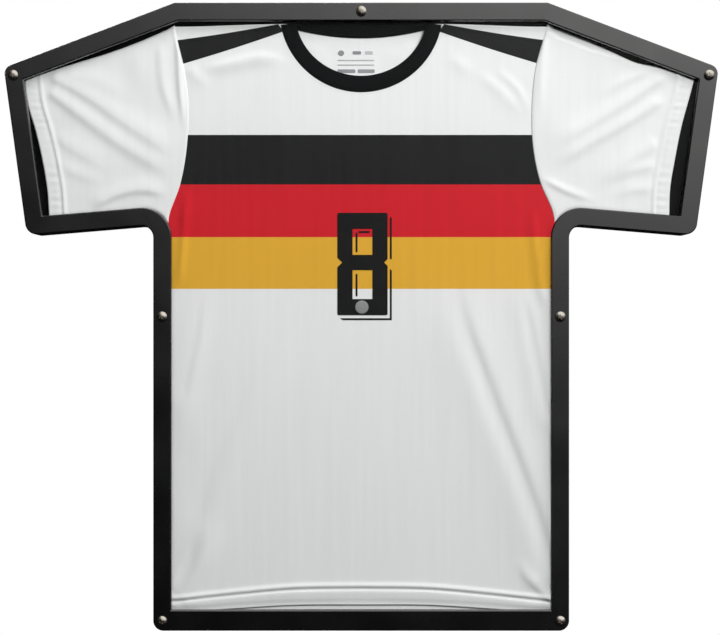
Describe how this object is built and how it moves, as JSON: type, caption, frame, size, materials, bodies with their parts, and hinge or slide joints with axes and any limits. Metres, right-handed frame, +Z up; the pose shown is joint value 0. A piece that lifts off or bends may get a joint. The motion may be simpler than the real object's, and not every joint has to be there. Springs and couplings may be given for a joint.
{
  "type": "jersey display frame",
  "caption": "T-shirt-shaped wall frame: black bezel and clear cover screwed over a shallow tray that holds a short-sleeved jersey on a form board.",
  "frame": {"origin": "midway between the two hanger ring pivots, on the wall plane", "axes": "+X to the viewer's right along the longest side, +Y into the wall, +Z up; the front faces -Y"},
  "size_m": [0.9116, 0.0319, 0.803],
  "materials": {
    "bezel_black": "satin, slightly soft",
    "rim_black": "matt",
    "board_black": "black painted fibreboard",
    "cover_clear": "clear sheet",
    "nickel": "polished nickel plate",
    "steel": "zinc plated steel",
    "nylon_black": "moulded nylon",
    "rubber_black": "soft rubber",
    "form_white": "plain corrugated sheet",
    "jersey_white": "fine polyester knit",
    "jersey_black": "fine polyester knit",
    "number_black": "heat-pressed film"
  },
  "bodies": {
    "back_tray": {"back_board": "board_black", "spacer_rim": "rim_black", "barrel_nuts": "steel", "hanger_strap_left": "steel", "hanger_strap_right": "steel", "hanger_rivets": "steel", "wall_bumpers": "rubber_black", "form_board": "form_white", "jersey_back_panel": "jersey_white", "jersey_front_panel": "jersey_white", "jersey_collar": "jersey_black", "jersey_sleeve_left": "jersey_white", "jersey_sleeve_right": "jersey_white", "jersey_shoulder_band_left": "jersey_black", "jersey_shoulder_band_right": "jersey_black", "jersey_number": "number_black"},
    "front_cover": {"bezel": "bezel_black", "clear_cover": "cover_clear"},
    "ring_left": {"hanger_ring_left": "steel"},
    "ring_right": {"hanger_ring_right": "steel"},
    "washer_top": {"washer_top": "nylon_black"},
    "screw_top": {"screw_top": "nickel"},
    "washer_shoulder_left": {"washer_shoulder_left": "nylon_black"},
    "screw_shoulder_left": {"screw_shoulder_left": "nickel"},
    "washer_shoulder_right": {"washer_shoulder_right": "nylon_black"},
    "screw_shoulder_right": {"screw_shoulder_right": "nickel"},
    "washer_side_left": {"washer_side_left": "nylon_black"},
    "screw_side_left": {"screw_side_left": "nickel"},
    "washer_side_right": {"washer_side_right": "nylon_black"},
    "screw_side_right": {"screw_side_right": "nickel"},
    "washer_bottom_left": {"washer_bottom_left": "nylon_black"},
    "screw_bottom_left": {"screw_bottom_left": "nickel"},
    "washer_bottom_right": {"washer_bottom_right": "nylon_black"},
    "screw_bottom_right": {"screw_bottom_right": "nickel"}
  },
  "joints": [
    {"name": "front_lift", "type": "slide", "parent": "back_tray", "child": "front_cover", "axis": [0, -1, 0], "range_m": [0, 0.08]},
    {"name": "top_screw_out", "type": "slide", "parent": "front_cover", "child": "washer_top", "axis": [0, -1, 0], "range_m": [0, 0.0088]},
    {"name": "top_screw_turn", "type": "hinge", "parent": "washer_top", "child": "screw_top", "pos_m": [0, -0.0288, 0.0785], "axis": [0, -1, 0], "range_deg": [0, 3960]},
    {"name": "shoulder_left_screw_out", "type": "slide", "parent": "front_cover", "child": "washer_shoulder_left", "axis": [0, -1, 0], "range_m": [0, 0.0088]},
    {"name": "shoulder_left_screw_turn", "type": "hinge", "parent": "washer_shoulder_left", "child": "screw_shoulder_left", "pos_m": [-0.4445, -0.0288, -0.003], "axis": [0, -1, 0], "range_deg": [0, 3960]},
    {"name": "shoulder_right_screw_out", "type": "slide", "parent": "front_cover", "child": "washer_shoulder_right", "axis": [0, -1, 0], "range_m": [0, 0.0088]},
    {"name": "shoulder_right_screw_turn", "type": "hinge", "parent": "washer_shoulder_right", "child": "screw_shoulder_right", "pos_m": [0.4445, -0.0288, -0.003], "axis": [0, -1, 0], "range_deg": [0, 3960]},
    {"name": "side_left_screw_out", "type": "slide", "parent": "front_cover", "child": "washer_side_left", "axis": [0, -1, 0], "range_m": [0, 0.0088]},
    {"name": "side_left_screw_turn", "type": "hinge", "parent": "washer_side_left", "child": "screw_side_left", "pos_m": [-0.2543, -0.0288, -0.3115], "axis": [0, -1, 0], "range_deg": [0, 3960]},
    {"name": "side_right_screw_out", "type": "slide", "parent": "front_cover", "child": "washer_side_right", "axis": [0, -1, 0], "range_m": [0, 0.0088]},
    {"name": "side_right_screw_turn", "type": "hinge", "parent": "washer_side_right", "child": "screw_side_right", "pos_m": [0.2543, -0.0288, -0.3115], "axis": [0, -1, 0], "range_deg": [0, 3960]},
    {"name": "bottom_left_screw_out", "type": "slide", "parent": "front_cover", "child": "washer_bottom_left", "axis": [0, -1, 0], "range_m": [0, 0.0088]},
    {"name": "bottom_left_screw_turn", "type": "hinge", "parent": "washer_bottom_left", "child": "screw_bottom_left", "pos_m": [-0.2543, -0.0288, -0.7], "axis": [0, -1, 0], "range_deg": [0, 3960]},
    {"name": "bottom_right_screw_out", "type": "slide", "parent": "front_cover", "child": "washer_bottom_right", "axis": [0, -1, 0], "range_m": [0, 0.0088]},
    {"name": "bottom_right_screw_turn", "type": "hinge", "parent": "washer_bottom_right", "child": "screw_bottom_right", "pos_m": [0.2543, -0.0288, -0.7], "axis": [0, -1, 0], "range_deg": [0, 3960]},
    {"name": "ring_left_swing", "type": "hinge", "parent": "back_tray", "child": "ring_left", "pos_m": [-0.15, -0.0021, 0], "axis": [1, 0, 0], "range_deg": [0, 180]},
    {"name": "ring_right_swing", "type": "hinge", "parent": "back_tray", "child": "ring_right", "pos_m": [0.15, -0.0021, 0], "axis": [1, 0, 0], "range_deg": [0, 180]}
  ],
  "couplings": [
    {"joint": "top_screw_turn", "follows": "top_screw_out", "rad_per_m": 7854},
    {"joint": "shoulder_left_screw_turn", "follows": "shoulder_left_screw_out", "rad_per_m": 7854},
    {"joint": "shoulder_right_screw_turn", "follows": "shoulder_right_screw_out", "rad_per_m": 7854},
    {"joint": "side_left_screw_turn", "follows": "side_left_screw_out", "rad_per_m": 7854},
    {"joint": "side_right_screw_turn", "follows": "side_right_screw_out", "rad_per_m": 7854},
    {"joint": "bottom_left_screw_turn", "follows": "bottom_left_screw_out", "rad_per_m": 7854},
    {"joint": "bottom_right_screw_turn", "follows": "bottom_right_screw_out", "rad_per_m": 7854}
  ]
}
